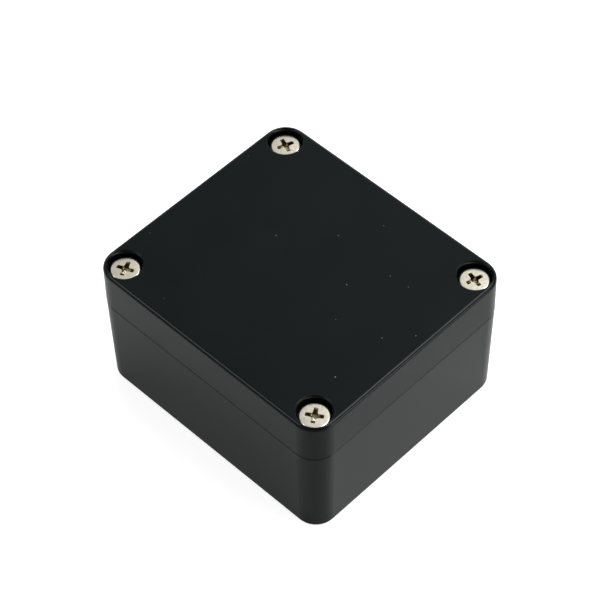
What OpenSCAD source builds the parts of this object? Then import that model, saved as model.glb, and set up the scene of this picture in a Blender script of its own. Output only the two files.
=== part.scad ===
// Small sealed project box: a deep moulded base and a screwed lid with a rubber gasket between them.
// Millimetres. The box stands on z = 0 with its middle on the Z axis, its longer side along X.

/* [Case] */
// Length over the lid, along X
case_length = 65; // [52:0.5:130]
// Width over the lid, along Y
case_width = 58; // [50:0.5:120]
// Height of the closed box
case_height = 35; // [28:0.5:90]
// Height of the lid, from the parting line to the top
lid_height = 10.2; // [9:0.1:14]
// Radius of the upright outer corners, at the parting line
corner_radius = 5.4; // [4.4:0.1:6.5]
// How far the base's rim lies inside the lid's, all round
rim_step = 0.03; // [0:0.01:0.3]

/* [Walls] */
// Thickness of the base's side walls at the rim
base_wall = 2.5; // [2.1:0.1:3.2]
// Thickness of the base's floor
base_floor = 2.5; // [1.6:0.1:4]
// Thickness of the lid's side walls at the rim, which hold the gasket groove
lid_wall = 3.2; // [2.7:0.1:3.9]
// Thickness of the lid's top plate
lid_plate = 2.5; // [1.8:0.1:3.2]
// How far the base's outer sides lean in from rim to floor
base_draft = 0.45; // [0.1:0.01:0.8]
// How far the lid's outer sides lean in from rim to top
lid_draft = 0.08; // [0.02:0.01:0.3]
// How far the inner walls lean in from the rim to the closed end
inner_draft = 0.2; // [0.05:0.05:0.4]

/* [Edges] */
// Radius round the lid's top edge
top_round = 0.8; // [0.3:0.05:1.2]
// Radius round the base's bottom edge
bottom_round = 0.5; // [0.2:0.05:1]
// Radius on the base's outer edge at the parting line
rim_round = 0.35; // [0.05:0.01:0.5]
// Radius on the lid's outer edge at the parting line
lip_round = 0.1; // [0.05:0.01:0.3]
// Radius round the mouth of each screw recess
recess_round = 0.25; // [0.1:0.05:0.35]
// Sloping fillet where the inner walls meet the floor and the top plate
inner_fillet = 0.6; // [0.2:0.1:0.8]

/* [Seal] */
// Distance from the lid's side to the middle of the seal line
seal_inset = 1.6; // [1.5:0.05:1.9]
// Radius of the seal line round each lid screw
seal_round = 4.1; // [3.8:0.1:4.6]
// Width of the tongue on the base's rim, at its root
tongue_width = 1.1; // [0.9:0.05:1.3]
// Height of the tongue
tongue_height = 1.4; // [1:0.1:2]
// How much narrower the tongue is at its tip
tongue_taper = 0.2; // [0:0.05:0.4]
// Room between the tongue's root and each side of the groove
groove_clearance = 0.15; // [0.05:0.05:0.2]
// Height of the squeezed gasket
gasket_height = 1.4; // [1:0.1:2]
// Room between the gasket and each side of the groove
gasket_clearance = 0.05; // [0.02:0.01:0.1]
// Radius on the gasket's long edges
gasket_edge = 0.35; // [0.1:0.05:0.45]

/* [Lid screws] */
// Distance from each screw's axis to the two sides of the lid
screw_inset = 4.9; // [4.7:0.1:5.5]
// Outer diameter of the thread
screw_diameter = 3.5; // [3:0.1:4]
// Length of the shank under the head
screw_length = 16; // [12:0.5:18]
// Diameter of the head
head_diameter = 6.8; // [5.5:0.1:7.1]
// Height of the head
head_height = 2.2; // [1.8:0.1:2.6]
// Radius round the head's top edge
head_round = 0.5; // [0.2:0.05:0.8]
// How deep the head's top lies below the lid's top
head_drop = 1.4; // [0.5:0.1:2]
// Room round the head in its recess, on the radius
head_clearance = 0.45; // [0.2:0.05:0.6]
// Room round the shank in the lid, on the radius
shank_clearance = 0.25; // [0.1:0.05:0.5]
// Bevel on the screw's tip
tip_bevel = 0.4; // [0.2:0.1:0.8]
// Length of the cross recess in the head, tip to tip
cross_length = 3.9; // [3:0.1:4.4]
// Width of the cross recess's wings
cross_width = 0.9; // [0.6:0.05:1.2]
// Depth of the cross recess
cross_depth = 1.5; // [1:0.1:1.7]
// Angle between the wings' ends and the screw's axis, in degrees
cross_slope = 26.5; // [20:0.5:30]
// How far the front left screw has been turned
front_left_turn = 23; // [0:1:89]
// How far the front right screw has been turned
front_right_turn = 32; // [0:1:89]
// How far the back left screw has been turned
back_left_turn = 70; // [0:1:89]
// How far the back right screw has been turned
back_right_turn = 75; // [0:1:89]

/* [Threaded inserts] */
// Thickness of an insert from its thread to the knurled bands' outside
insert_wall = 0.7; // [0.5:0.05:1]
// Length of an insert
insert_length = 6; // [5:0.5:8]
// How deep an insert's top lies below the base's rim
insert_drop = 0.2; // [0:0.05:0.5]
// Depth of the groove between the knurled bands
insert_groove_depth = 0.3; // [0.1:0.05:0.4]
// Width of that groove
insert_groove_width = 1.2; // [1:0.1:2]
// Room round the screw's thread in the insert, on the radius
thread_clearance = 0.05; // [0.02:0.01:0.1]
// Bevel at the ends of an insert
insert_bevel = 0.3; // [0.1:0.05:0.5]

/* [Column cores] */
// Room past the screw's tip
tip_room = 1; // [0.5:0.1:3]
// Diameter of the core in each column's foot, at its mouth
core_diameter = 5; // [3.5:0.1:5.6]
// How much narrower the core is at its closed end
core_taper = 0.4; // [0.1:0.1:0.8]
// Plastic left between the core and the screw's hole
core_web = 2.5; // [1.5:0.1:5]

/* [Board posts] */
// Distance from the lid's side to the posts' axes, along X
post_inset_x = 10.5; // [10:0.5:16]
// Distance from the lid's side to the posts' axes, along Y
post_inset_y = 13; // [12:0.5:20]
// Height of the posts above the floor
post_height = 5; // [3:0.5:10]
// Diameter of a post at its top
post_diameter = 5.5; // [4.5:0.1:7]
// How much wider a post is at its foot
post_taper = 0.3; // [0.1:0.1:1]
// Diameter of the pilot hole for a self-tapping screw
pilot_diameter = 2.5; // [2:0.1:3]
// Floor left under the pilot hole
pilot_web = 1.5; // [1:0.1:2.5]

/* [Hidden] */
$fa = 15;
$fs = 0.9;

// Cuts run this far past the faces that they open
over = 1;
// Extrusions that are only there to be trimmed
far = 2 * (case_length + case_width);
// Angle that a recess's rounded mouth still has where it meets the lid's top
mouth_lean = 12;

half_length = case_length / 2;
half_width = case_width / 2;
base_height = case_height - lid_height;
ceiling = case_height - lid_plate;

// Middle of the corner arcs
corner_x = half_length - corner_radius;
corner_y = half_width - corner_radius;

// Axes of the lid screws, and the heights along them
screw_x = half_length - screw_inset;
screw_y = half_width - screw_inset;
head_seat = case_height - head_drop - head_height;
screw_tip = head_seat - screw_length;
insert_top = base_height - insert_drop;
insert_foot = insert_top - insert_length;
screw_hole_end = min(screw_tip, insert_foot) - tip_room;
core_end = screw_hole_end - core_web;
thread_bore = screw_diameter / 2 + thread_clearance;
insert_radius = thread_bore + insert_wall;

// The seal line runs straight along the sides. By each screw it turns in through a quarter circle,
// goes round the inner side of the screw through another, and turns back out. The middles of the
// first and the last quarter lie level with the screw's axis, bend_back away from it.
seal_bend = screw_inset - seal_inset;
bend_back = seal_round + seal_bend;

groove_width = tongue_width + 2 * groove_clearance;
groove_depth = tongue_height + gasket_height;
gasket_width = groove_width - 2 * gasket_clearance;

// How far inside the seal line the inner walls stand at a height
base_reach = rim_step + base_wall - seal_inset;
lid_reach = lid_wall - seal_inset;
function base_reach_at(z) = base_reach + inner_draft * (base_height - z) / (base_height - base_floor);
function lid_reach_at(z) = lid_reach + inner_draft * (z - base_height) / (ceiling - base_height);

post_x = half_length - post_inset_x;
post_y = half_width - post_inset_y;

case_colour = [0.13, 0.135, 0.14];
gasket_colour = [0.32, 0.33, 0.34];
nickel_colour = [0.82, 0.79, 0.72];
brass_colour = [0.79, 0.64, 0.32];

// ---- Shared shapes ----

// Children once at each of four places, turned so that +X +Y points out towards that corner
module at_corners(x, y) {
    for (corner = [[1, 1, 0], [-1, 1, 90], [-1, -1, 180], [1, -1, 270]])
        translate([corner[0] * x, corner[1] * y, 0]) rotate([0, 0, corner[2]]) children();
}

module at_screws() {
    at_corners(screw_x, screw_y) children();
}

// Children, a half section that reaches out from x = 0, carried along both long sides
module along_x(run, out) {
    for (turn = [0, 180])
        rotate([0, 0, turn]) translate([0, out, 0])
            rotate([90, 0, 90]) linear_extrude(run, center = true) children();
}

// The same along both short sides
module along_y(run, out) {
    for (turn = [0, 180])
        rotate([0, 0, turn]) translate([out, 0, 0])
            rotate([90, 0, 0]) linear_extrude(run, center = true) children();
}

// A rounded block: its half section turned about the middles of the four corner arcs, and carried
// along the sides
module rounded_block(low, high) {
    at_corners(corner_x, corner_y) rotate_extrude(angle = 90) children();
    along_x(2 * corner_x, corner_y) children();
    along_y(2 * corner_y, corner_x) children();
    translate([-corner_x, -corner_y, low]) cube([2 * corner_x, 2 * corner_y, high - low]);
}

// A section that is the same on both sides of its middle, carried along the whole seal line
module seal_sweep() {
    along_x(2 * (screw_x - bend_back), half_width - seal_inset) children();
    along_y(2 * (screw_y - bend_back), half_length - seal_inset) children();
    at_screws() {
        translate([-bend_back, 0, 0]) rotate_extrude(angle = 90) translate([seal_bend, 0]) children();
        rotate([0, 0, 180]) rotate_extrude(angle = 90) translate([seal_round, 0]) children();
        translate([0, -bend_back, 0]) rotate_extrude(angle = 90) translate([seal_bend, 0]) children();
    }
}

// A box with sloping sides, given by its half sizes at two heights
module tapered_box(low, high, low_half, high_half) {
    intersection() {
        rotate([90, 0, 0]) linear_extrude(far, center = true)
            tapered_section(low, high, low_half[0], high_half[0]);
        rotate([90, 0, 90]) linear_extrude(far, center = true)
            tapered_section(low, high, low_half[1], high_half[1]);
    }
}

module tapered_section(low, high, low_half, high_half) {
    polygon([[-low_half, low], [low_half, low], [high_half, high], [-high_half, high]]);
}

// The space inside the case between two heights: the seal line moved in by a reach at each height,
// so that the walls, the screw columns and the bends between them all follow the seal
module hollow(low, high, low_reach, high_reach) {
    tall = high - low;
    low_bend = max(0.05, seal_bend - low_reach);
    high_bend = max(0.05, seal_bend - high_reach);
    side = seal_bend + 2 * over;
    difference() {
        tapered_box(low, high,
            [half_length, half_width] - (seal_inset + low_reach) * [1, 1],
            [half_length, half_width] - (seal_inset + high_reach) * [1, 1]);
        at_screws() translate([0, 0, low]) {
            difference() {
                linear_extrude(tall) polygon([
                    [0, 0], [-bend_back, 0], [-bend_back, side],
                    [side, side], [side, -bend_back], [0, -bend_back]
                ]);
                for (middle = [[-bend_back, 0], [0, -bend_back]])
                    translate(middle) cylinder(h = tall, r1 = low_bend, r2 = high_bend);
            }
            cylinder(h = tall, r1 = seal_round + low_reach, r2 = seal_round + high_reach);
        }
    }
}

// ---- Base ----

// Half section of the base's outside from the corner arc's middle: sides that lean in towards a
// rounded bottom
module base_section() {
    rim = corner_radius - rim_step;
    lean = atan(base_draft / base_height);
    out = [cos(lean), -sin(lean)];
    low = [rim - base_draft + bottom_round * tan(lean) - bottom_round / cos(lean), bottom_round];
    high = [rim - rim_round * tan(lean) - rim_round / cos(lean), base_height - rim_round];
    polygon([
        [0, 0], [low[0], 0], low, low + bottom_round * out,
        high + rim_round * out, high, [high[0], base_height], [0, base_height]
    ]);
    translate(low) circle(bottom_round);
    translate(high) circle(rim_round);
}

// The tongue's section, which tapers all the way up from its root inside the rim
module tongue_section() {
    sunk = over / 2;
    tip = (tongue_width - tongue_taper) / 2;
    root = tongue_width / 2 + tongue_taper / 2 * sunk / tongue_height;
    polygon([
        [-root, base_height - sunk], [root, base_height - sunk],
        [tip, base_height + tongue_height], [-tip, base_height + tongue_height]
    ]);
}

module base_hollow() {
    bend_in = base_floor + inner_fillet;
    hollow(bend_in, base_height + over, base_reach_at(bend_in), base_reach_at(base_height + over));
    hollow(base_floor, bend_in, base_reach_at(bend_in) + inner_fillet, base_reach_at(bend_in));
}

module board_post() {
    translate([0, 0, base_floor - over / 2])
        cylinder(h = over / 2 + post_height, d1 = post_diameter + post_taper, d2 = post_diameter);
}

module at_posts() {
    at_corners(post_x, post_y) children();
}

// What is cut down each screw column: the insert's seat, room for the screw's tip, and the core
// from below
module column_cuts() {
    rotate_extrude() insert_section();
    translate([0, 0, insert_top]) cylinder(h = insert_drop + over, r = insert_radius);
    translate([0, 0, screw_hole_end])
        cylinder(h = insert_top - screw_hole_end, d = screw_diameter + 2 * shank_clearance);
    cylinder(h = core_end, d1 = core_diameter, d2 = core_diameter - core_taper);
    translate([0, 0, -over]) cylinder(h = over, d = core_diameter);
}

module base() {
    color(case_colour)
    difference() {
        union() {
            difference() {
                rounded_block(0, base_height) base_section();
                base_hollow();
            }
            seal_sweep() tongue_section();
            at_posts() board_post();
        }
        at_screws() column_cuts();
        at_posts() translate([0, 0, pilot_web])
            cylinder(h = base_floor + post_height + over - pilot_web, d = pilot_diameter);
    }
}

// ---- Lid ----

// Half section of the lid's outside from the corner arc's middle, with a rounded top edge
module lid_section() {
    lean = atan(lid_draft / lid_height);
    out = [cos(lean), sin(lean)];
    side = corner_radius - (lid_height - top_round) * tan(lean);
    high = [side - top_round / cos(lean), case_height - top_round];
    low = [
        corner_radius - lip_round * tan(lean) - lip_round / cos(lean),
        base_height + lip_round
    ];
    polygon([
        [0, base_height], [low[0], base_height], low, low + lip_round * out,
        high + top_round * out, high, [high[0], case_height], [0, case_height]
    ]);
    translate(low) circle(lip_round);
    translate(high) circle(top_round);
}

module lid_hollow() {
    bend_in = ceiling - inner_fillet;
    hollow(base_height - over, bend_in, lid_reach_at(base_height - over), lid_reach_at(bend_in));
    hollow(bend_in, ceiling, lid_reach_at(bend_in), lid_reach_at(bend_in) + inner_fillet);
}

module groove_section() {
    translate([-groove_width / 2, base_height - over]) square([groove_width, groove_depth + over]);
}

// Half section of the recess for a screw's head, with a rounded mouth, and of the hole for its shank
module recess_section() {
    wall = head_diameter / 2 + head_clearance;
    shank = screw_diameter / 2 + shank_clearance;
    mouth = [wall + recess_round, case_height - recess_round * cos(mouth_lean)];
    translate([0, base_height - over]) square([shank, head_seat + 2 * over - base_height]);
    translate([0, head_seat]) square([wall, case_height + over - head_seat]);
    difference() {
        translate([0, mouth[1]]) square([mouth[0], case_height + over - mouth[1]]);
        translate(mouth) circle(recess_round);
    }
}

module lid() {
    color(case_colour)
    difference() {
        rounded_block(base_height, case_height) lid_section();
        lid_hollow();
        seal_sweep() groove_section();
        at_screws() rotate_extrude() recess_section();
    }
}

// ---- Gasket ----

// The gasket lies at the top of the groove, squeezed by the tongue's tip
module gasket_section() {
    inner = [gasket_width - 2 * gasket_edge, gasket_height - 2 * gasket_edge];
    translate([0, base_height + tongue_height + gasket_height / 2]) {
        square([gasket_width, inner[1]], center = true);
        square([inner[0], gasket_height], center = true);
        for (side = [-1, 1], end = [-1, 1])
            translate([side * inner[0] / 2, end * inner[1] / 2]) circle(gasket_edge);
    }
}

module gasket() {
    color(gasket_colour) seal_sweep() gasket_section();
}

// ---- Lid screws ----

// Half section of a screw, with its head's underside at z = 0
module screw_section() {
    head = head_diameter / 2;
    thread = screw_diameter / 2;
    square([head - head_round, head_height]);
    square([head, head_height - head_round]);
    translate([head - head_round, head_height - head_round]) circle(head_round);
    polygon([
        [0, -screw_length], [thread - tip_bevel, -screw_length], [thread, tip_bevel - screw_length],
        [thread, 0], [0, 0]
    ]);
}

// One wing pair of the cross recess, sloping in towards its bottom
module cross_wing() {
    top = cross_length / 2;
    bottom = top - cross_depth * tan(cross_slope);
    rotate([90, 0, 0]) linear_extrude(cross_width, center = true)
        polygon([
            [-top, over], [-top, 0], [-bottom, -cross_depth],
            [bottom, -cross_depth], [top, 0], [top, over]
        ]);
}

module lid_screw(side, end, turn) {
    color(nickel_colour)
    translate([side * screw_x, end * screw_y, head_seat])
    difference() {
        rotate_extrude() screw_section();
        translate([0, 0, head_height])
            for (quarter = [0, 90]) rotate([0, 0, turn + quarter]) cross_wing();
    }
}

// ---- Threaded inserts ----

// Half section of an insert's outside, at its height in the box
module insert_section() {
    neck = insert_radius - insert_groove_depth;
    middle = (insert_foot + insert_top) / 2;
    half_groove = insert_groove_width / 2;
    polygon([
        [0, insert_foot], [insert_radius - insert_bevel, insert_foot],
        [insert_radius, insert_foot + insert_bevel], [insert_radius, middle - half_groove],
        [neck, middle - half_groove + insert_groove_depth],
        [neck, middle + half_groove - insert_groove_depth],
        [insert_radius, middle + half_groove], [insert_radius, insert_top - insert_bevel],
        [insert_radius - insert_bevel, insert_top], [0, insert_top]
    ]);
}

module threaded_insert(side, end) {
    color(brass_colour)
    translate([side * screw_x, end * screw_y, 0])
    difference() {
        rotate_extrude() insert_section();
        translate([0, 0, insert_foot - over]) cylinder(h = insert_length + 2 * over, r = thread_bore);
    }
}

base();
lid();
gasket();
lid_screw(-1, -1, front_left_turn);  // lid_screw_front_left
lid_screw(1, -1, front_right_turn);  // lid_screw_front_right
lid_screw(-1, 1, back_left_turn);  // lid_screw_back_left
lid_screw(1, 1, back_right_turn);  // lid_screw_back_right
threaded_insert(-1, -1);  // threaded_insert_front_left
threaded_insert(1, -1);  // threaded_insert_front_right
threaded_insert(-1, 1);  // threaded_insert_back_left
threaded_insert(1, 1);  // threaded_insert_back_right
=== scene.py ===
# %% [markdown]
# # A small sealed project box
#
# The box is a deep moulded base and a lid. A rubber gasket lies between them, and a screw in
# each corner pulls the lid down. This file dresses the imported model: it adds the camera, the
# floor and the light, gives every moulded piece its finish, and makes the screws and the
# threaded inserts again with their real threads, knurls and cross recesses.
#
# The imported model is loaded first, because every place and size below is measured on it. All
# lengths are metres, and a length in millimetres is multiplied by MM.

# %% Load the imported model
import math

import bmesh
import bpy
from mathutils import Matrix, Vector


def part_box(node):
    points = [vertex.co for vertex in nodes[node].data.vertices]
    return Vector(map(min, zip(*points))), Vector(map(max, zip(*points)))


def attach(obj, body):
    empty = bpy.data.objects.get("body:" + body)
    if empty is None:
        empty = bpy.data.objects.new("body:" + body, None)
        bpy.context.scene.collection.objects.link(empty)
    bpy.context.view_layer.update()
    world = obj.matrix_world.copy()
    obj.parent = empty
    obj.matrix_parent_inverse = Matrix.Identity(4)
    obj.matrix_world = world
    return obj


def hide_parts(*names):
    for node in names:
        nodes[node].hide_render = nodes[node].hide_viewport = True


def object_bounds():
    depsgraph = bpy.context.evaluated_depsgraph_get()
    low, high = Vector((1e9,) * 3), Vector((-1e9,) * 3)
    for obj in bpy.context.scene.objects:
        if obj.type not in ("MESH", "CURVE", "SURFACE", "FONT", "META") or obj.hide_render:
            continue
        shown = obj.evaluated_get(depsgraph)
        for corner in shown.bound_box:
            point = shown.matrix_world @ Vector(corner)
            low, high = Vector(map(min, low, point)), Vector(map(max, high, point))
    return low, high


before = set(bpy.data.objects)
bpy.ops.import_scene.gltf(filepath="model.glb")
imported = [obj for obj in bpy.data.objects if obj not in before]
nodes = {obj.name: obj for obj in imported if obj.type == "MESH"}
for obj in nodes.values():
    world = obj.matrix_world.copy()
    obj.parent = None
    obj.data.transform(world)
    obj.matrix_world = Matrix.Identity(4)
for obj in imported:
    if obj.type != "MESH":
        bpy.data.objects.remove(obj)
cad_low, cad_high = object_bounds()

MM = 0.001
lid_low, lid_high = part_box("lid")
case_size = cad_high - cad_low
print("closed box, mm:", [round(side / MM, 2) for side in case_size])

# %% [markdown]
# ## Camera
#
# A small product is usually taken with a long lens from well back, so that its upright edges
# stay nearly parallel. Here the camera stands about half a metre away, on the side of the
# corner between the front and the right face, and looks down at 51.4 degrees. A camera in
# Blender looks along its own -Z axis with +Y up, so its three axes are worked out from the
# direction of view, turned a little about that direction, and set as the columns of a matrix.

# %% Camera
CAMERA_PLACE = Vector((220.115, -219.036, 413.427)) * MM
AZIMUTH, ELEVATION, ROLL = (math.radians(angle) for angle in (45.138, 51.369, -1.325))
LENS_MM, SENSOR_MM = 140.5, 36

forward = Vector((
    -math.sin(AZIMUTH) * math.cos(ELEVATION),
    math.cos(AZIMUTH) * math.cos(ELEVATION),
    -math.sin(ELEVATION),
))
level_right = forward.cross(Vector((0, 0, 1))).normalized()
level_up = level_right.cross(forward)
right = level_right * math.cos(ROLL) + level_up * math.sin(ROLL)
up = level_up * math.cos(ROLL) - level_right * math.sin(ROLL)

camera = bpy.data.objects.new("camera", bpy.data.cameras.new("camera"))
bpy.context.scene.collection.objects.link(camera)
axes = Matrix((right, up, -forward)).transposed().to_4x4()
camera.matrix_world = Matrix.Translation(CAMERA_PLACE) @ axes
camera.data.sensor_width = SENSOR_MM
camera.data.lens = LENS_MM
camera.data.clip_start = 10 * MM
bpy.context.scene.camera = camera
print("camera looks down at", round(math.degrees(math.asin(-forward.z)), 1), "degrees")

# %% [markdown]
# ## Numbers that flow between nodes
#
# The threads, the knurls, the finishes and the light are all rules, and each rule is a chain
# of Math nodes. Written out one by one, such chains are hard to read. This small class stands
# for the output of a node, and arithmetic on it adds the Math node that does the same. It
# works in a shader and in Geometry Nodes alike, because both use the same Math node.

# %% Arithmetic that builds nodes
def add_node(tree, kind, inputs=None, **settings):
    """A new node, with its settings, and its inputs joined to other nodes or set to values."""
    node = tree.nodes.new(kind)
    for name, value in settings.items():
        setattr(node, name, value)
    for name, value in (inputs or {}).items():
        feed(tree, node.inputs[name], value)
    return node


def feed(tree, socket, value):
    """Joins an input to a Flow or a socket, or sets it to a value."""
    if isinstance(value, Flow):
        value = value.socket
    if isinstance(value, bpy.types.NodeSocket):
        tree.links.new(value, socket)
    else:
        socket.default_value = value


class Flow:
    """The output of a node. Arithmetic on it adds Math nodes to the same tree."""

    def __init__(self, tree, socket):
        self.tree, self.socket = tree, socket

    def math(self, operation, *others):
        node = self.tree.nodes.new("ShaderNodeMath")
        node.operation = operation
        for socket, value in zip(node.inputs, (self, *others)):
            feed(self.tree, socket, value)
        return Flow(self.tree, node.outputs[0])

    def __add__(self, other): return self.math("ADD", other)
    def __sub__(self, other): return self.math("SUBTRACT", other)
    def __mul__(self, other): return self.math("MULTIPLY", other)
    def __truediv__(self, other): return self.math("DIVIDE", other)
    def __rsub__(self, other): return (self * -1) + other
    __radd__, __rmul__ = __add__, __mul__

    def sin(self): return self.math("SINE")
    def cos(self): return self.math("COSINE")
    def sqrt(self): return self.math("SQRT")
    def exp(self): return self.math("EXPONENT")
    def abs(self): return self.math("ABSOLUTE")
    def round(self): return self.math("ROUND")
    def fraction(self): return self.math("FRACT")
    def least(self, other): return self.math("MINIMUM", other)
    def most(self, other): return self.math("MAXIMUM", other)
    def between(self, low=0.0, high=1.0): return self.most(low).least(high)

    def ramp(self, low, high):
        """0 up to low and 1 from high on, with a soft step between them."""
        node = add_node(self.tree, "ShaderNodeMapRange",
                        {"Value": self, "From Min": low, "From Max": high},
                        interpolation_type="SMOOTHSTEP")
        return Flow(self.tree, node.outputs["Result"])


print("node arithmetic is ready")

# %% [markdown]
# ## Turned pieces
#
# A screw and an insert are turned pieces: at each height they have a radius, and a thread or a
# knurl only changes that radius by a rule. So each is made from a flat grid whose columns
# become angles and whose rows become places along the outline. Set Position wraps the grid
# round the Z axis, and Merge by Distance closes the seam and the poles. The outline is a path
# that goes from stop to stop, one stop for each row, and a thread or a knurl is a ridge with
# straight flanks. A lathe tool such as Screw or Spin could make a plain outline, but not a
# thread with a closed end.

# %% A tree with named sizes
def new_tree(name, sizes):
    """An empty tree that takes and gives geometry, its group input, and its sizes as Flows."""
    tree = bpy.data.node_groups.new(name, "GeometryNodeTree")
    tree.interface.new_socket("Geometry", in_out="INPUT", socket_type="NodeSocketGeometry")
    tree.interface.new_socket("Geometry", in_out="OUTPUT", socket_type="NodeSocketGeometry")
    for label, value in sizes.items():
        kind = "NodeSocketInt" if isinstance(value, int) else "NodeSocketFloat"
        socket = tree.interface.new_socket(label, in_out="INPUT", socket_type=kind)
        socket.default_value = value
    entry = tree.nodes.new("NodeGroupInput")
    return tree, entry, {label: Flow(tree, entry.outputs[label]) for label in sizes}


def whole(tree, number):
    """A fixed whole number as a Flow."""
    return Flow(tree, add_node(tree, "FunctionNodeInputInt", integer=number).outputs[0])


print("trees take their sizes as named inputs")

# %% Wrap a grid round an axis
FULL_TURN = 2 * math.pi
MERGE = 1e-7


def turned(tree, facets, rows, outline):
    """A turned surface. outline(angle, row) gives each corner's angle, radius and height."""
    grid = add_node(tree, "GeometryNodeMeshGrid",
                    {"Size X": 1.0, "Size Y": 1.0,
                     "Vertices X": facets + 1, "Vertices Y": rows + 1})
    position = add_node(tree, "GeometryNodeInputPosition").outputs[0]
    place = add_node(tree, "ShaderNodeSeparateXYZ", {"Vector": position})
    angle = (Flow(tree, place.outputs["X"]) + 0.5) * FULL_TURN
    row = ((Flow(tree, place.outputs["Y"]) + 0.5) * rows).round()
    angle, radius, height = outline(angle, row)
    wrapped = add_node(tree, "ShaderNodeCombineXYZ",
                       {"X": radius * angle.cos(), "Y": radius * angle.sin(), "Z": height})
    return add_node(tree, "GeometryNodeSetPosition",
                    {"Geometry": grid.outputs["Mesh"],
                     "Position": wrapped.outputs[0]}).outputs[0]


def joined(tree, *pieces):
    """Surfaces whose seams, poles and shared rings are merged into one closed solid."""
    join = add_node(tree, "GeometryNodeJoinGeometry")
    for piece in pieces:
        tree.links.new(piece, join.inputs[0])
    return add_node(tree, "GeometryNodeMergeByDistance",
                    {"Geometry": join.outputs[0], "Distance": MERGE}).outputs[0]


print("points nearer than", round(MERGE / MM, 6), "mm are merged, which closes a turn")

# %% Outlines and ridges
def path(row, stops):
    """A value that goes from stop to stop, one stop for each row."""
    value = row * 0 + stops[0]
    for index, (here, onward) in enumerate(zip(stops, stops[1:])):
        value = value + (onward - here) * (row - index).between()
    return value


def ridge(cycles):
    """A wave of straight flanks: 0 at whole numbers of cycles and 1 halfway between them."""
    return 1 - (cycles.fraction() * 2 - 1).abs()


print("outlines go from stop to stop, and ridges have straight flanks")

# %% [markdown]
# ## Where the fasteners stand
#
# Each screw has its insert below it on the same axis, so one small mesh of points serves both.
# A point lies on each axis at the height of the lid screw's seat, and carries how far that
# screw was turned when it was tightened. The insert is turned with it, so that the two threads
# always mesh.

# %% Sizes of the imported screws
CORNERS = ("front_left", "front_right", "back_left", "back_right")
UNDER_RIM = 0.1 * MM

screw_low, screw_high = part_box("lid_screw_front_left")
insert_low, insert_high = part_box("threaded_insert_front_left")
axis = ((screw_low + screw_high) / 2).xy
screw_points = [vertex.co for vertex in nodes["lid_screw_front_left"].data.vertices]
profile = [((point.xy - axis).length, point.z) for point in screw_points]
head_radius = (screw_high.x - screw_low.x) / 2
thread_radius = max(radius for radius, height in profile if height <= insert_high.z)
seat_height = min(height for radius, height in profile if radius > head_radius - UNDER_RIM)
screw_length = seat_height - screw_low.z
head_height = screw_high.z - seat_height
print("screw, mm: head", round(2 * head_radius / MM, 2), "x", round(head_height / MM, 2),
      "thread", round(2 * thread_radius / MM, 2), "x", round(screw_length / MM, 2))

# %% Points on the four axes
SCREW_TURNS = {"front_left": 23, "front_right": 32, "back_left": 70, "back_right": 75}

axis_places = []
for corner in CORNERS:
    corner_low, corner_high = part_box("lid_screw_" + corner)
    axis_places.append((*((corner_low + corner_high) / 2).xy, seat_height))
axis_points = bpy.data.meshes.new("axis_points")
axis_points.from_pydata(axis_places, [], [])
turn = axis_points.attributes.new("turn", "FLOAT", "POINT")
for index, corner in enumerate(CORNERS):
    turn.data[index].value = math.radians(SCREW_TURNS[corner])
print("fasteners stand at, mm:",
      [tuple(round(c / MM, 2) for c in vertex.co) for vertex in axis_points.vertices])

# %% [markdown]
# ## From a tree to a plain mesh
#
# The end of both fasteners' trees is the same. Faces are shaded smooth, but edges that are sharp
# on the real piece, such as a thread's crest, keep their crease. Instance on Points puts a copy
# on each axis, Realize Instances makes the four copies real, and Set Material gives them their
# finish. The tree runs in a modifier on the axis points. Its result is kept as one plain mesh
# at the origin, which stands for the four packed fasteners, and the modifier's object goes.

# %% One copy on each axis
SHARP = math.radians(32)


def copied_to_axes(tree, entry, body, material):
    """The end of a fastener's tree: shading, one real copy on each axis, and the finish."""
    soft = add_node(tree, "GeometryNodeSetShadeSmooth",
                    {"Geometry": body, "Shade Smooth": True}, domain="FACE")
    edge_angle = add_node(tree, "GeometryNodeInputMeshEdgeAngle").outputs["Unsigned Angle"]
    creased = add_node(tree, "GeometryNodeSetShadeSmooth",
                       {"Geometry": soft.outputs[0], "Shade Smooth": False,
                        "Selection": Flow(tree, edge_angle).math("GREATER_THAN", SHARP)},
                       domain="EDGE")
    turned_by = add_node(tree, "GeometryNodeInputNamedAttribute", {"Name": "turn"},
                         data_type="FLOAT")
    rotation = add_node(tree, "ShaderNodeCombineXYZ", {"Z": turned_by.outputs["Attribute"]})
    copies = add_node(tree, "GeometryNodeInstanceOnPoints",
                      {"Points": entry.outputs["Geometry"], "Instance": creased.outputs[0],
                       "Rotation": rotation.outputs[0]})
    real = add_node(tree, "GeometryNodeRealizeInstances", {"Geometry": copies.outputs[0]})
    finished = add_node(tree, "GeometryNodeSetMaterial",
                        {"Geometry": real.outputs[0], "Material": material})
    tree.links.new(finished.outputs[0], tree.nodes.new("NodeGroupOutput").inputs["Geometry"])


print("edges sharper than", round(math.degrees(SHARP)), "degrees keep their crease")

# %% Run a tree and keep its result
def report_mesh(name, mesh):
    """Prints a mesh's finish, its faces, its open edges and its volume."""
    check = bmesh.new()
    check.from_mesh(mesh)
    open_edges = sum(1 for edge in check.edges if not edge.is_manifold)
    volume = check.calc_volume(signed=True) / MM**3
    check.free()
    print(name, "of", mesh.materials[0].name, "faces", len(mesh.polygons),
          "open edges", open_edges, "volume, mm3", round(volume, 1))


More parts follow.
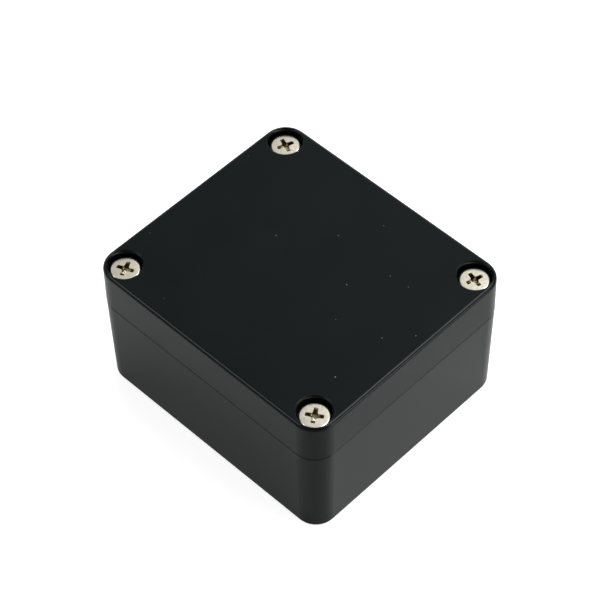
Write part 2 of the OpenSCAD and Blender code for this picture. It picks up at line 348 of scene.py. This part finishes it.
def grown_on_axes(name, tree, sizes, cad_nodes):
    """Runs a tree on the axis points, and lets its plain mesh stand for the CAD nodes."""
    grower = bpy.data.objects.new(name + "_points", axis_points.copy())
    bpy.context.scene.collection.objects.link(grower)
    modifier = grower.modifiers.new("grow", "NODES")
    modifier.node_group = tree
    for item in tree.interface.items_tree:
        if item.in_out == "INPUT" and item.name in sizes:
            modifier[item.identifier] = sizes[item.name]
    graph = bpy.context.evaluated_depsgraph_get()
    mesh = bpy.data.meshes.new_from_object(grower.evaluated_get(graph))
    mesh.name = name
    while mesh.materials[0] is None:  # a grid brings an empty slot of its own
        mesh.materials.pop(index=0)
    bpy.data.objects.remove(grower)
    piece = bpy.data.objects.new(name, mesh)
    bpy.context.scene.collection.objects.link(piece)
    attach(piece, "root")
    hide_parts(*cad_nodes)
    report_mesh(name, mesh)


print("each tree gives one plain mesh for its four fasteners")

# %% [markdown]
# ## Helpers for the finishes
#
# Each finish is one Principled shader. Its plain numbers go straight onto its sockets, and what
# changes over the surface comes from noise on the object's own coordinates, in millimetres, so
# a pattern's scale can be read as a real size. Bump is given a real depth for the same reason.

# %% Helpers for the finishes
def new_finish(name, **settings):
    """A material with one Principled shader, whose plain settings go onto its sockets."""
    finish = bpy.data.materials.new(name)
    finish.use_nodes = True
    shader = finish.node_tree.nodes["Principled BSDF"]
    for label, value in settings.items():
        shader.inputs[label.replace("_", " ")].default_value = value
    return finish, finish.node_tree, shader


def millimetres(tree):
    """The object's own coordinates, in millimetres."""
    own = add_node(tree, "ShaderNodeTexCoord").outputs["Object"]
    return add_node(tree, "ShaderNodeVectorMath", {0: own, "Scale": 1 / MM},
                    operation="SCALE").outputs[0]


def parts_of(tree, vector):
    """The three parts of a vector as Flows."""
    split = add_node(tree, "ShaderNodeSeparateXYZ", {"Vector": vector})
    return [Flow(tree, split.outputs[axis]) for axis in "XYZ"]


def noise(tree, vector, per_mm, detail=2.0):
    """Noise from 0 to 1 whose blobs are about 1 / per_mm millimetres wide."""
    node = add_node(tree, "ShaderNodeTexNoise",
                    {"Vector": vector, "Scale": per_mm, "Detail": detail, "Roughness": 0.5})
    return Flow(tree, node.outputs[0])


def tint(tree, share, first, second):
    """A colour between two, by a share from 0 to 1. Either may come from another node."""
    mix = add_node(tree, "ShaderNodeMix", {0: share}, data_type="RGBA")
    for socket, colour in ((mix.inputs[6], first), (mix.inputs[7], second)):
        feed(tree, socket, (*colour, 1) if isinstance(colour, tuple) else colour)
    return mix.outputs[2]


def emboss(tree, shader, height, depth_mm):
    """A bump whose height field runs from 0 to 1 over a real depth."""
    bump = add_node(tree, "ShaderNodeBump",
                    {"Height": height, "Distance": depth_mm * MM, "Strength": 1.0})
    tree.links.new(bump.outputs[0], shader.inputs["Normal"])


print("finishes are set out in millimetres")

# %% [markdown]
# ## Plated steel
#
# The lid screws are steel with a bright nickel plate, which looks a little warmer and softer
# than chrome. A metal has no colour of its own beyond its reflection, so its Base Color is the
# tint of that reflection. Fine noise in the roughness stands for handling marks, and rings
# round the axis are left by the turning. The cross recess is painted darker with its depth, as
# painted shade and as the grime and cutting oil that stay in it, but less so in its middle,
# where the driver's tip scours it.

# %% Nickel plate
# The third colour is painted into the cross recess, as painted shade and grime together.
BRIGHT_NICKEL, DULL_NICKEL, GRIME_AND_SHADE = (0.83, 0.78, 0.66), (0.72, 0.665, 0.55), (0.20, 0.165, 0.09)
RING_WAVE = 42  # radians in a millimetre
axis_x = max(vertex.co.x for vertex in axis_points.vertices) / MM
axis_y = max(vertex.co.y for vertex in axis_points.vertices) / MM

nickel, tree, shader = new_finish("nickel_plate", Metallic=1.0)
spot = millimetres(tree)
x, y, z = parts_of(tree, spot)
off_x, off_y = x.abs() - axis_x, y.abs() - axis_y
from_axis = (off_x * off_x + off_y * off_y).sqrt()
depth = screw_high.z / MM - z
in_recess = (1 - depth.ramp(2.0, 2.1)) * (1 - from_axis.ramp(2.4, 2.5))
# The recess is painted darker with depth, as painted shade and grime, and less so near the axis.
scoured_and_less_shaded = 0.45 + from_axis.ramp(0.2, 1.3) * 0.55
recess_shade_and_grime = depth.ramp(0.03, 0.5) * in_recess * scoured_and_less_shaded
smears = noise(tree, spot, 1.3, 3)
clean = tint(tree, smears.ramp(0.3, 0.75), BRIGHT_NICKEL, DULL_NICKEL)
feed(tree, shader.inputs["Base Color"], tint(tree, recess_shade_and_grime, clean, GRIME_AND_SHADE))
feed(tree, shader.inputs["Roughness"], smears * 0.14 + noise(tree, spot, 9) * 0.10 + 0.08)
rings = (from_axis * RING_WAVE).sin() * 0.5 + 0.5
emboss(tree, shader, rings * 0.25 + noise(tree, spot, 14), 0.004)
print("nickel plate is set about axes at", round(axis_x, 2), round(axis_y, 2), "mm")

# %% [markdown]
# ## Lid screws
#
# Each is a pan-head machine screw. The thread follows the rule of a coarse thread of its size:
# its outline climbs one pitch in each turn, so the radius depends on the height less the angle.
# The head is a second wrapped grid that shares its lowest ring with the thread's highest, so
# both merge into one closed solid. The cross recess is then cut with a Boolean. Its outline is
# a cross whose wings grow narrower and shorter with depth, as a driver's tip does.

# %% Sizes of a lid screw
screw_sizes = {
    "Facets": 64,
    "Rows in a Pitch": 8,
    "Pitch": 0.6 * MM,
    "Thread Depth": 0.36 * MM,
    "Thread Radius": thread_radius,
    "Length": screw_length,
    "Head Radius": head_radius,
    "Head Height": head_height,
    "Head Round": 0.5 * MM,
    "Cross Reach": 1.95 * MM,
    "Cross Half Width": 0.44 * MM,
    "Cross Corner": 0.16 * MM,
    "Cross Depth": 1.5 * MM,
}
screw_tree, screw_entry, screw = new_tree("lid_screw", screw_sizes)
print("a lid screw has", len(screw_sizes), "sizes")

# %% Shank with its thread
PLAIN_NECK = 1.5 * MM
TIP_BEVEL = 0.4 * MM
KEEP_POSITIVE = 100  # whole turns


def rows_up(size, length):
    """How many rows of the grid a threaded length has."""
    return (size[length] / size["Pitch"]).round() * size["Rows in a Pitch"]


def thread_cut(size, angle, height):
    """How deep the thread is cut at an angle and at a height above the seat."""
    turns = height / size["Pitch"] - angle / FULL_TURN + KEEP_POSITIVE
    return ridge(turns) * size["Thread Depth"]


def shank(angle, row):
    """Out from the tip's middle, then up the thread, which runs out under the head."""
    climb = ((row - 1) / rows_up(screw, "Length")).between()
    height = (climb - 1) * screw["Length"]
    bevel = (TIP_BEVEL - (height + screw["Length"])).most(0)
    depth = thread_cut(screw, angle, height) * (height / -PLAIN_NECK).between()
    return angle, (screw["Thread Radius"] - bevel - depth) * row.between(), height


print("the thread runs out", round(PLAIN_NECK / MM, 1), "mm under the head")

# %% Head
ARC_STEPS = 8


def head(angle, row):
    """Out under the head, up its rim, over the round, and in to the middle of its top."""
    arc = [math.radians(step * 90 / ARC_STEPS) for step in range(ARC_STEPS + 1)]
    flat, bend = screw["Head Radius"] - screw["Head Round"], screw["Head Round"]
    top = screw["Head Height"] - screw["Head Round"]
    radii = [screw["Thread Radius"], screw["Head Radius"],
             *(flat + bend * math.cos(a) for a in arc), 0.0]
    heights = [0.0, 0.0, *(top + bend * math.sin(a) for a in arc), screw["Head Height"]]
    return angle, path(row, radii), path(row, heights)


print("the head's round has", ARC_STEPS, "steps")

# %% Cross recess
CROSS_FACETS = 120
LEVELS = 4
WING_END_LEAN, WING_SIDE_LEAN = math.radians(26.5), math.radians(3)
POINT_DEPTH = 0.35 * MM


def cross(angle, row):
    """The cutter: a point at the bottom, four levels up to the head's top, and one above it."""
    level = (row - 1).between(0, LEVELS + 1)
    depth = screw["Cross Depth"] * (1 - level / LEVELS)
    reach = screw["Cross Reach"] - depth * math.tan(WING_END_LEAN)
    half = screw["Cross Half Width"] - depth * math.tan(WING_SIDE_LEAN)
    in_quarter = ((angle / (math.pi / 2) + 0.5).fraction() - 0.5).abs() * (math.pi / 2)
    across, along = in_quarter.sin().most(0.001), in_quarter.cos()
    leaning = half * (across - along)
    corner = screw["Cross Corner"] * screw["Cross Corner"] * 4
    rounded = (leaning * leaning + across * along * corner).sqrt()
    side = (half * (across + along) + rounded) / (across * along * 2)
    inside = row.between() * (1 - (row - (LEVELS + 2)).between())
    height = screw["Head Height"] - depth - (1 - row.between()) * POINT_DEPTH
    return angle, side.least(reach / along) * inside, height


print("the wings' ends lean in by", round(math.degrees(WING_END_LEAN), 1), "degrees")

# %% Grow the lid screws
solid = joined(screw_tree,
               turned(screw_tree, screw["Facets"], rows_up(screw, "Length") + 1, shank),
               turned(screw_tree, screw["Facets"], whole(screw_tree, ARC_STEPS + 3), head))
cutter = joined(screw_tree,
                turned(screw_tree, whole(screw_tree, CROSS_FACETS),
                       whole(screw_tree, LEVELS + 3), cross))
cut_screw = add_node(screw_tree, "GeometryNodeMeshBoolean", {"Mesh 1": solid, "Mesh 2": cutter},
                     operation="DIFFERENCE", solver="EXACT")
copied_to_axes(screw_tree, screw_entry, cut_screw.outputs["Mesh"], nickel)
grown_on_axes("lid_screws", screw_tree, screw_sizes,
              ["lid_screw_" + corner for corner in CORNERS])

# %% [markdown]
# ## Turned brass
#
# The inserts are brass, turned and left bare. Brass is yellower than nickel, and its tarnish is
# browner, so noise mixes the two. The knurl and the thread are in the mesh, so the bump adds
# only fine tool marks.

# %% Brass
CLEAN_BRASS, TARNISH = (0.78, 0.57, 0.27), (0.45, 0.30, 0.13)
TOOL_WAVE = 50  # radians in a millimetre

brass, tree, shader = new_finish("turned_brass", Metallic=1.0)
spot = millimetres(tree)
x, y, z = parts_of(tree, spot)
tarnish = noise(tree, spot, 1.1, 4)
feed(tree, shader.inputs["Base Color"],
     tint(tree, tarnish.ramp(0.3, 0.8), CLEAN_BRASS, TARNISH))
feed(tree, shader.inputs["Roughness"], tarnish * 0.25 + 0.18)
emboss(tree, shader, (z * TOOL_WAVE).sin() * 0.15 + noise(tree, spot, 16), 0.004)
print("brass is mixed with its tarnish")

# %% [markdown]
# ## Threaded inserts
#
# A brass insert is pressed hot into the plastic of each column, so that the lid can be opened
# often without wearing the plastic. Two bands of slanting knurl lean opposite ways, so it can
# neither turn nor pull out. Here the columns of the grid lean with the knurl, one way in the
# lower band and the other way in the upper. The bore follows the same rule as the screw's
# thread, a little wider, so the two never touch.

# %% Sizes of a threaded insert
insert_sizes = {
    "Ridges": 24,
    "Rows in a Pitch": 8,
    "Pitch": screw_sizes["Pitch"],
    "Thread Depth": screw_sizes["Thread Depth"],
    "Bore Radius": thread_radius + 0.05 * MM,
    "Outer Radius": (insert_high.x - insert_low.x) / 2,
    "Bottom": insert_low.z - seat_height,
    "Height": insert_high.z - insert_low.z,
    "Knurl Depth": 0.2 * MM,
    "Knurl Lean": math.radians(22),
}
insert_tree, insert_entry, insert = new_tree("threaded_insert", insert_sizes)
print("an insert has", insert_sizes["Ridges"], "ridges and stands",
      round(insert_sizes["Height"] / MM, 2), "mm high")

# %% Jacket with two knurled bands
BAND_ROWS = 6
RIM_INSET = 0.3
band = [step / BAND_ROWS for step in range(BAND_ROWS + 1)]
# Each stop is a share of the height, an inset in mm or None for the bore, a lean and a knurl.
jacket_stops = [(0.0, None, 0, 0), (0.0, RIM_INSET, 0, 0)]
jacket_stops += [(0.05 + 0.35 * share, 0.0, share, 1) for share in band]
jacket_stops += [(0.45, RIM_INSET, 1, 0), (0.55, RIM_INSET, 1, 0)]
jacket_stops += [(0.60 + 0.35 * share, 0.0, 1 - share, 1) for share in band]
jacket_stops += [(1.0, RIM_INSET, 0, 0), (1.0, None, 0, 0)]


def jacket(angle, row):
    """Out over the lower rim, up two knurled bands, and in over the upper rim."""
    shares, insets, leans, knurled = zip(*jacket_stops)
    radii = [insert["Bore Radius"] if inset is None else insert["Outer Radius"] - inset * MM
             for inset in insets]
    teeth = ridge(angle * insert["Ridges"] / FULL_TURN + 0.0001) * insert["Knurl Depth"]
    leaning = angle + path(row, leans) * insert["Knurl Lean"]
    radius = path(row, radii) - teeth * path(row, knurled)
    return leaning, radius, insert["Bottom"] + path(row, shares) * insert["Height"]


print("the jacket has", len(jacket_stops), "stops")

# %% Bore and the finished insert
FACETS_IN_A_RIDGE = 4


def bore(angle, row):
    """Down inside, along the screw's own thread, with a plain countersink at either end."""
    climb = 1 - row / rows_up(insert, "Height")
    height = insert["Bottom"] + climb * insert["Height"]
    from_end = climb.least(1 - climb) * insert["Height"]
    depth = thread_cut(insert, angle, height).least(from_end)
    return angle, insert["Bore Radius"] - depth, height


facets = insert["Ridges"] * FACETS_IN_A_RIDGE
jacket_rows = whole(insert_tree, len(jacket_stops) - 1)
insert_solid = joined(insert_tree,
                      turned(insert_tree, facets, jacket_rows, jacket),
                      turned(insert_tree, facets, rows_up(insert, "Height"), bore))
copied_to_axes(insert_tree, insert_entry, insert_solid, brass)
grown_on_axes("threaded_inserts", insert_tree, insert_sizes,
              ["threaded_insert_" + corner for corner in CORNERS])

# %% [markdown]
# ## Floor
#
# Black plastic has almost no colour to show, so what is seen of it is mostly what it mirrors,
# and the light is set by what each face mirrors. The case stands on a pale table with a soft
# gloss, like a sheet of acrylic. From high up, the sides mirror that table, and in its gloss
# they mirror the softboxes again. The floor has a plain pale colour, and Light Path adds the
# rest of its white where it is seen directly, so it still takes the case's shadow.

# %% Floor
FLOOR_REACH = 6.0
FLOOR_GAP = 0.05 * MM
PALE = (0.64, 0.64, 0.64, 1)
SEEN_WHITE, MIRRORED_WHITE = 0.75, 0.05


def rays_of(tree, *kinds):
    """A Flow for each kind of ray, 1 on a ray of that kind and 0 on any other."""
    light_path = add_node(tree, "ShaderNodeLightPath")
    return [Flow(tree, light_path.outputs[f"Is {kind} Ray"]) for kind in kinds]


floor_corners = [(x_side * FLOOR_REACH, y_side * FLOOR_REACH, 0)
                 for x_side, y_side in ((-1, -1), (1, -1), (1, 1), (-1, 1))]
floor_mesh = bpy.data.meshes.new("floor")
floor_mesh.from_pydata(floor_corners, [], [(0, 1, 2, 3)])
floor = bpy.data.objects.new("floor", floor_mesh)
bpy.context.scene.collection.objects.link(floor)
floor.location.z = cad_low.z - FLOOR_GAP

pale, tree, shader = new_finish("pale_floor", Base_Color=PALE, Roughness=0.2,
                                Emission_Color=(1, 1, 1, 1))
seen, clear, mirrored = rays_of(tree, "Camera", "Transmission", "Glossy")
feed(tree, shader.inputs["Emission Strength"],
     (seen.most(clear) * SEEN_WHITE).most(mirrored * MIRRORED_WHITE))
floor_mesh.materials.append(pale)
print("floor lies", round(FLOOR_GAP / MM, 3), "mm under the case")

# %% [markdown]
# ## Soft lights round the table
#
# The lights are soft glows in the room itself, each strongest in its middle and fading with the
# angle from it. A large softbox stands on the right and a smaller one on the left, so the right
# side is the brighter one. The room in front stays dark, so the rounded corner between the two
# sides shows as a dark band. White paper hangs behind, near full white, where the lid's top and
# the flat screw heads mirror it. A window and a bright wall give the low light that lifts the
# far edges. Seen directly or through something clear, the room is plain white. Metal mirrors
# that pale background too, all round but for the side of the camera.

# %% Room
# Each light is an azimuth from +X towards +Y, an elevation, a tightness and a strength.
SOFT_LIGHTS = {
    "large softbox, high on the right": (58, 60, 23, 10.4),
    "smaller softbox on the left": (224, 47, 38, 7.0),
    "window, low on the right": (19, 3, 40, 10.3),
    "bright wall, low behind": (133, 7, 18, 6.0),
    "white paper, hung behind": (127, 51, 40, 0.95),
}
CAMERA_SIDE = (315, 55, 5)
DARK_ROOM, PALE_BACKGROUND = 0.02, 0.6


def glow(tree, toward, azimuth, elevation, tightness):
    """1 in one direction, fading with the angle from it."""
    azimuth, elevation = math.radians(azimuth), math.radians(elevation)
    middle = Vector((math.cos(azimuth) * math.cos(elevation),
                     math.sin(azimuth) * math.cos(elevation), math.sin(elevation)))
    alike = add_node(tree, "ShaderNodeVectorMath", {0: toward, 1: middle},
                     operation="DOT_PRODUCT")
    return ((Flow(tree, alike.outputs["Value"]) - 1) * tightness).exp()


world = bpy.data.worlds.new("room")
world.use_nodes = True
bpy.context.scene.world = world
room = world.node_tree
background = room.nodes["Background"]
background.inputs["Color"].default_value = (1, 1, 1, 1)
toward = add_node(room, "ShaderNodeTexCoord").outputs["Generated"]
lights = sum(glow(room, toward, *place) * strength for *place, strength in SOFT_LIGHTS.values())
seen, clear, mirrored = rays_of(room, "Camera", "Transmission", "Glossy")
pale_round = mirrored * PALE_BACKGROUND * (1 - glow(room, toward, *CAMERA_SIDE))
feed(room, background.inputs["Strength"],
     (lights + DARK_ROOM).most(seen.most(clear)).most(pale_round))

bpy.context.scene.view_settings.view_transform = "Standard"
print(len(SOFT_LIGHTS), "soft lights in the room")

# %% [markdown]
# ## Moulded plastic
#
# The case is black ABS from a mould whose steel was given a very fine satin texture. From above,
# the top mirrors so little that it looks almost black, while a side seen at a low angle mirrors
# the table. Its specular level is therefore low, and its roughness is low too, because the edges
# of what it mirrors are still to be made out. Fine noise makes the texture's bump, broad noise
# makes clouds in the colour, which leans a little to blue, and smudges vary the gloss. The
# rounded edges are smoother in places, because hands rub them first, and in the same places
# they are painted paler, as a painted highlight on the edge.

# %% How far a spot is from the case's outer edges
lid_corners = [vertex.co for vertex in nodes["lid"].data.vertices]
half_x, half_y, top_z = lid_high / MM
straight_x = max(abs(c.x) for c in lid_corners if c.y > lid_high.y - 0.01 * MM) / MM
corner_arc = half_x - straight_x
straight_y = half_y - corner_arc


def inward_from_sides(x, y):
    """How far inside the lid's rounded outline a spot lies, in millimetres."""
    past_x, past_y = (x.abs() - straight_x).most(0), (y.abs() - straight_y).most(0)
    return corner_arc - (past_x * past_x + past_y * past_y).sqrt()


print("the lid's corner arcs measure", round(corner_arc, 2), "mm")

# %% Black moulded plastic
DEEP_BLACK, CLOUDED_BLACK = (0.0017, 0.0026, 0.0028), (0.0031, 0.0042, 0.0045)
COOL_GLOSS = (0.89, 0.99, 1.0, 1)
GRAIN_DEPTH_MM = 0.002

plastic, tree, shader = new_finish("black_moulded_plastic", IOR=1.5, Specular_IOR_Level=0.14,
                                   Specular_Tint=COOL_GLOSS)
spot = millimetres(tree)
x, y, z = parts_of(tree, spot)
clouds = noise(tree, spot, 0.06, 3)
smudges = noise(tree, spot, 0.35, 4)
grain = noise(tree, spot, 7.0)
on_edge = 1 - inward_from_sides(x, y).most(top_z - z).ramp(0.2, 0.6)
# Where the edges are rubbed they are smoother, and the same places are painted paler as a
# painted highlight.
rubbed_and_highlit = on_edge * smudges.ramp(0.45, 0.65)
colour = tint(tree, clouds.ramp(0.3, 0.7) * 0.7 + rubbed_and_highlit * 0.3, DEEP_BLACK, CLOUDED_BLACK)
feed(tree, shader.inputs["Roughness"],
     clouds * 0.04 + grain * 0.04 + smudges * 0.05 - rubbed_and_highlit * 0.03 + 0.12)
emboss(tree, shader, grain, GRAIN_DEPTH_MM)
print("the plastic leans to blue and has a bump", GRAIN_DEPTH_MM, "mm deep")

# %% [markdown]
# ## Dust
#
# A few pale specks lie on the lid, since dust settles on what is level and shows on black. They
# could be small meshes, but they have no height to see, so they belong to the finish. A flat
# Voronoi pattern gives each of its cells one middle, and the specks are small discs round the
# middles of only a few cells, each of its own size.

# %% Dust on the lid
CELLS_PER_MM = 0.2
SMALLEST, SPREAD = 0.014, 0.022  # radii, in cells
DUST = (0.20, 0.22, 0.21)

cells = add_node(tree, "ShaderNodeTexVoronoi",
                 {"Vector": spot, "Scale": CELLS_PER_MM, "Randomness": 1.0},
                 voronoi_dimensions="2D")
kept, grown, _ = parts_of(tree, cells.outputs["Color"])
radius = SMALLEST + grown * SPREAD
speck = 1 - (Flow(tree, cells.outputs["Distance"]) / radius).ramp(0.5, 1.0)
on_top = 1 - (top_z - z).ramp(0.02, 0.06)
dusty = speck * on_top * kept.ramp(0.88, 0.89) * 0.8
feed(tree, shader.inputs["Base Color"], tint(tree, dusty, colour, DUST))
for name in ("base", "lid"):
    nodes[name].material_slots[0].material = plastic
print("specks are up to", round(2 * (SMALLEST + SPREAD) / CELLS_PER_MM, 2), "mm across")

# %% [markdown]
# ## Rubber
#
# The gasket is a soft moulded ring of charcoal rubber, shut in between the base and the lid. It
# is matt, because rubber takes the blasted face of its mould, so its roughness is high and its
# fine bump is ten times as deep as the plastic's. Noise mixes two close greys.

# %% Grey rubber
DARK_RUBBER, LIGHT_RUBBER = (0.028, 0.028, 0.030), (0.040, 0.040, 0.042)

rubber, tree, shader = new_finish("grey_rubber", Roughness=0.75)
spot = millimetres(tree)
feed(tree, shader.inputs["Base Color"],
     tint(tree, noise(tree, spot, 1.5, 3), DARK_RUBBER, LIGHT_RUBBER))
emboss(tree, shader, noise(tree, spot, 12, 3), 10 * GRAIN_DEPTH_MM)
nodes["gasket"].material_slots[0].material = rubber
print("rubber on the gasket")
